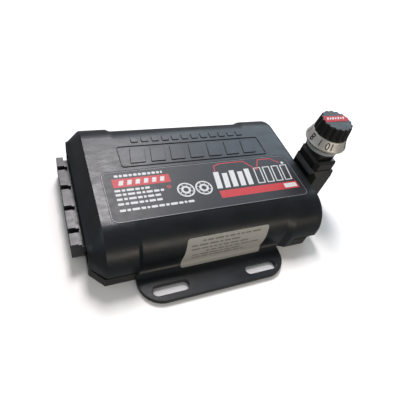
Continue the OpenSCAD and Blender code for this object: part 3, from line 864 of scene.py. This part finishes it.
def sheet_faces(rows, cols):
    """Faces of a sheet of two layers of points, joined all round its border."""
    faces = []
    layer = (rows + 1) * (cols + 1)
    for i in range(rows):
        for j in range(cols):
            a = i * (cols + 1) + j
            b = a + cols + 1
            faces.append((a, b, b + 1, a + 1))
            faces.append((layer + a, layer + a + 1, layer + b + 1, layer + b))
    border = list(range(cols + 1))
    border += [i * (cols + 1) + cols for i in range(1, rows + 1)]
    border += [rows * (cols + 1) + j for j in range(cols - 1, -1, -1)]
    border += [i * (cols + 1) for i in range(rows - 1, 0, -1)]
    for k, a in enumerate(border):
        b = border[(k + 1) % len(border)]
        faces.append((a, b, layer + b, layer + a))
    return faces


def wall_sheet(x, s, r, lift, thick, slant, rows=24):
    """A thin sheet with rounded corners on the front recess, between two X and two heights s."""
    cols = 20
    edges, verts = [], []
    for i in range(rows + 1):
        v = i / rows
        sy = s[0] + (s[1] - s[0]) * v
        edge = min(sy - s[0], s[1] - sy)
        pull = r - math.sqrt(max(0.0, r * r - max(0.0, r - edge) ** 2))
        edges.append((sy, x[0] + pull + slant * v, x[1] - pull + slant * v))
    for level in (lift, lift + thick):
        for sy, xa, xb in edges:
            verts += [wall_point(xa + (xb - xa) * j / cols, sy, level) for j in range(cols + 1)]
    return mesh_from("sheet", verts, sheet_faces(rows, cols))


def sticker_print(left, top, level):
    """Rows of dashes that stand for the sticker's small print."""
    lines = []
    pitch, height = 1.9, 0.75
    spans = ((8, 34), (3, 27), (3, 29), (10, 33), (4, 24), (4, 30))
    for row, (first, last) in enumerate(spans):
        low = top - 2.2 - row * pitch
        start = left + first
        while start < left + last - 1:
            end = start + 1.6 + 1.3 * ((row * 7 + int(start * 3)) % 3)
            lines.append(wall_sheet((start, end), (low, low + height), 0.2, level, 0.015, 0, 3))
            start = end + 0.6
    return lines


def build_rating_label():
    """Pale sticker on the curved front wall, with its print."""
    left, right = PLATE_LOW.x - 0.8, PLATE_HIGH.x - 0.6
    low, high = -3.6, 12.2
    lift, thick = 0.01, 0.12
    corner, slant = 0.7, 2.2
    sheet = shade(wall_sheet((left, right), (low, high), corner, lift, thick, slant))
    piece = add_object("rating_sticker", sheet, "main_unit", RATING)
    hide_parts("rating_label")
    ink = shade(joined(sticker_print(PLATE_LOW.x, high, lift + thick - 0.005)))
    add_object("rating_print", ink, "main_unit", RATING_INK)


# ---------------------------------------------------------------- knob


def dial_flare(t):
    """Radius of the dial's skirt, where t runs from 0 above the lip to 1 under the cap."""
    bottom, top = DIAL_R - 0.15, CAP_R + 0.15
    return bottom + (top - bottom) * t ** DIAL_BULGE


def dial_radius(z):
    """Radius of the dial's skirt at a height."""
    low, high = DIAL_LOW.z + DIAL_LIP, DIAL_HIGH.z - DIAL_TOP_GAP
    return dial_flare(min(max((z - low) / (high - low), 0.0), 1.0))


def build_dial():
    """Flared skirt with a rolled lip, hollow underneath."""
    low, high = DIAL_LOW.z, DIAL_HIGH.z
    lip, steps = DIAL_LIP, 10
    r0, r1, bore = DIAL_R, CAP_R + 0.15, 4.4
    rise = high - low - lip - DIAL_TOP_GAP
    flare = [(dial_flare(k / steps), low + lip + rise * k / steps) for k in range(steps + 1)]
    rolled = [(r0 - 0.35, low), (r0 - 0.08, low + 0.08), (r0, low + 0.3), (r0, low + lip - 0.15)]
    inside = [
        (r1 - 0.25, high), (bore, high), (bore, high - 1.0), (r1 - 1.6, high - 1.0),
        (r0 - 1.2, low + lip), (r0 - 1.1, low + 0.1), (r0 - 0.9, low),
    ]
    mesh = shade(revolve(rolled + flare + inside, (KNOB_X, KNOB_Y), 128), 30)
    piece = add_object("dial_skirt", mesh, "gain_knob", DIAL)
    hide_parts("dial")


def wrap_on_dial(mesh, azimuth, z_mid, lift):
    """Bends a flat shape about its own centre, in metres, onto the dial at an azimuth in degrees."""
    for v in mesh.vertices:
        x, y, d = v.co / MM
        z = z_mid + y
        r = dial_radius(z) + lift + d
        a = math.radians(azimuth) + x / DIAL_R
        v.co = Vector((KNOB_X + r * math.cos(a), KNOB_Y + r * math.sin(a), z)) * MM


def numeral(text, size):
    """A numeral as a flat mesh about its own centre, in metres."""
    font = bpy.data.curves.new("numeral", "FONT")
    font.body = text
    font.size = size * MM
    font.align_x = "CENTER"
    font.align_y = "CENTER"
    font.extrude = INK_T * MM
    font.offset = 0.06 * MM
    font.resolution_u = 4
    return welded(flattened(font), 1e-7)


def build_dial_marks():
    """Even numbers and a stroke for each odd one, read from outside the skirt's lower edge."""
    parts = []
    middle = (DIAL_LOW.z + DIAL_HIGH.z) / 2 + 0.5
    for i in range(MARKS):
        if i % 2:
            shape = plate([rect(-0.26, 0.26, -1.6, 1.6)], 0.0, 2 * INK_T)
        else:
            shape = numeral(str(i), 5.0)
            shape.transform(Matrix.Rotation(math.pi, 4, "Z"))
        wrap_on_dial(shape, 180 + (i - REST_MARK) * MARK_STEP, middle, INK_T)
        parts.append(shape)
    piece = add_object("dial_print", shade(joined(parts)), "gain_knob", MARK_INK)
    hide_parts("dial_marks")


def cap_rings():
    """(z, shrink, share of the flutes' depth) of each ring of the cap, foot first."""
    low, top = CAP_BASE, CAP_TOP
    edge = 0.5
    rings = [(low, 0.25, 0.3), (low + 0.15, 0.0, 0.5), (low + 0.5, 0.0, 0.9), (low + 1.2, 0.0, 1.0)]
    for k in range(1, 6):
        rings.append((low + 1.2 + (top - low - 1.2 - edge) * k / 5, 0.0, 1.0))
    for k in range(1, 7):
        a = math.radians(90 * k / 6)
        rings.append((top - edge + edge * math.sin(a), 0.45 * (1 - math.cos(a)), 1.0))
    rings += [(top, 0.6, 1.0), (top - 0.02, 1.3, 0.0)]
    return rings + [(top - CAP_DISH, 3.2, 0.0), (top - CAP_DISH, 5.4, 0.0)]


def build_cap():
    """Black cap with rounded flutes, a crisp scalloped rim and a shallow dished top."""
    flutes, depth, sharpness = 16, 0.75, 1.6
    steps = flutes * 14
    low, top = CAP_BASE, CAP_TOP
    rings = cap_rings()
    verts, faces = [], ring_faces(len(rings), steps)
    for z, shrink, share in rings:
        r = CAP_R - CAP_TAPER * (z - low) / (top - low) - shrink
        for i in range(steps):
            a = 2 * math.pi * i / steps
            wave = (0.5 + 0.5 * math.cos(flutes * a)) ** sharpness
            rr = r - depth * share * wave
            verts.append((KNOB_X + rr * math.cos(a), KNOB_Y + rr * math.sin(a), z))
    verts += [(KNOB_X, KNOB_Y, top - CAP_DISH), (KNOB_X, KNOB_Y, low)]
    peak, foot, last = len(verts) - 2, len(verts) - 1, (len(rings) - 1) * steps
    for i in range(steps):
        m = (i + 1) % steps
        faces.append((last + i, last + m, peak))
        faces.append((m, i, foot))
    mesh = shade(mesh_from("cap", verts, faces), 50)
    piece = add_object("cap_fluted", mesh, "gain_knob", KNOB)
    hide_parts("knob_cap")


def badge_outline(low, high, rim):
    """Outline of a strip across the cap, whose ends follow the rim."""
    steps = 8
    right = []
    for k in range(steps + 1):
        y = low + (high - low) * k / steps
        right.append((KNOB_X + math.sqrt(rim * rim - (y - KNOB_Y) ** 2), y))
    left = [(2 * KNOB_X - x, y) for x, y in right]
    return [left[0]] + right + left[:0:-1]


def build_badge():
    """Plain red strip across the cap, with a row of white bars."""
    low, high = BADGE_LOW.y, BADGE_HIGH.y
    bottom, top = CAP_TOP - 0.08, CAP_TOP + 0.08
    strip = shade(plate([badge_outline(low, high, CAP_R - 1.55)], bottom, top, 0.05, 2))
    piece = add_object("badge_strip", strip, "gain_knob", BADGE_RED)
    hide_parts("cap_badge")
    bars = []
    count, pitch, lean = 7, 1.6, 0.4
    middle = (low + high) / 2 + 0.3
    for k in range(count):
        x = KNOB_X + (k - (count - 1) / 2) * pitch
        half = 0.85 - 0.2 * (k % 2)
        bars.append([[(x - 0.55 - lean, middle - half), (x + 0.35 - lean, middle - half),
                      (x + 0.55 + lean, middle + half), (x - 0.35 + lean, middle + half)]])
    print_piece("badge_bars", bars, top, "gain_knob", WHITE_INK)


def coil_mesh(centre, r, wire, z, turns):
    """Round wire wound to a helix between two heights."""
    sides, steps = 10, 24
    count = int(turns * steps)
    verts, faces = [], ring_faces(count + 1, sides)
    for i in range(count + 1):
        a = 2 * math.pi * i / steps
        middle = z[0] + wire + (z[1] - z[0] - 2 * wire) * i / count
        for k in range(sides):
            b = 2 * math.pi * k / sides
            out = r + wire * math.cos(b)
            x, y = centre[0] + out * math.cos(a), centre[1] + out * math.sin(a)
            verts.append((x, y, middle + wire * math.sin(b)))
    faces += [tuple(range(sides))[::-1], tuple(range(count * sides, (count + 1) * sides))]
    return mesh_from("coil", verts, faces)


def build_spring():
    """Return spring under the shaft, a helix of round wire with a mesh of its own, built at rest; the
    real spring shortens as the knob is pushed.
    """
    low, high = node_box("return_spring")
    wire, turns = 0.2, 5.5
    x, y = (low.x + high.x) / 2, (low.y + high.y) / 2
    mesh = coil_mesh((x, y), (high.x - low.x) / 2 - wire, wire, (low.z, high.z), turns)
    piece = add_object("spring_coil", shade(mesh), "remote_head", SPRING)
    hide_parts("return_spring")
    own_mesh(piece)


# ---------------------------------------------------------------- stage, light and camera


AMBIENT = 0.3


def build_stage():
    """Plain pale floor and an even backdrop. The floor is left out of glossy reflections."""
    mesh = box_mesh((-2500, -2500, -4), (2500, 2500, -0.02))
    floor = bpy.data.objects.new("floor", mesh)
    bpy.context.scene.collection.objects.link(floor)
    n = Nodes("floor_paper")
    n.color(n.blend(n.noise(6, 2), (0.9, 0.895, 0.885), (0.88, 0.875, 0.865)))
    n.set(rough=0.9)
    mesh.materials.append(n.material)
    floor.visible_glossy = False
    bpy.context.scene.view_settings.view_transform = "Standard"
    world = bpy.data.worlds.new("studio")
    bpy.context.scene.world = world
    world.use_nodes = True
    backdrop = world.node_tree.nodes["Background"]
    backdrop.inputs["Color"].default_value = (1.0, 1.0, 1.0, 1)
    backdrop.inputs["Strength"].default_value = AMBIENT


def area_light(name, place, size, power, color=(1, 1, 1), target=(0, 0, 0.01)):
    """A rectangular lamp at a place in metres that faces a target."""
    data = bpy.data.lights.new(name, "AREA")
    data.shape = "RECTANGLE"
    data.size, data.size_y = size
    data.energy = power
    data.color = color
    lamp = bpy.data.objects.new(name, data)
    bpy.context.scene.collection.objects.link(lamp)
    lamp.location = place
    lamp.rotation_euler = (Vector(target) - Vector(place)).to_track_quat("-Z", "Y").to_euler()
    return lamp


def build_lights():
    """Soft key from behind, a cool light from the far right, and faint ones from the other sides."""
    area_light("key", (0.11, 0.66, 0.94), (0.26, 0.34), 13, (1.0, 0.95, 0.97))
    area_light("sky", (0.56, 0.68, 0.6), (0.9, 0.45), 6, (0.7, 0.86, 1.0))
    area_light("above", (0, 0, 1.0), (1.2, 1.2), 0.3, target=(0, 0, 0))
    area_light("bounce", (0.06, -0.6, 0.14), (0.7, 0.1), 1.8, (1.0, 0.9, 0.74))
    area_light("fill", (-0.75, 0.1, 0.3), (0.6, 0.3), 0.9, (0.72, 0.88, 1.0))


def build_camera():
    """The camera, at the place and angle fitted to the main unit's straight edges."""
    data = bpy.data.cameras.new("camera")
    data.sensor_width = 36
    data.lens = 32.26
    camera = bpy.data.objects.new("camera", data)
    bpy.context.scene.collection.objects.link(camera)
    right = Vector((0.9141, -0.3410, 0.2194))
    down = Vector((-0.1305, -0.7597, -0.6370))
    forward = Vector((0.3839, 0.5537, -0.7390))
    place = (-0.0624, -0.1045, 0.1359)
    turn = Matrix((right, -down, -forward)).transposed()
    camera.matrix_world = Matrix.Translation(place) @ turn.to_4x4()
    data.clip_start = 0.01
    data.clip_end = 50
    bpy.context.scene.camera = camera


build_camera()
build_stage()
build_lights()
dress_cad_nodes()
build_housing()
build_top_label()
build_rating_label()
build_dial()
build_dial_marks()
build_cap()
build_badge()
build_spring()

bpy.context.view_layer.update()
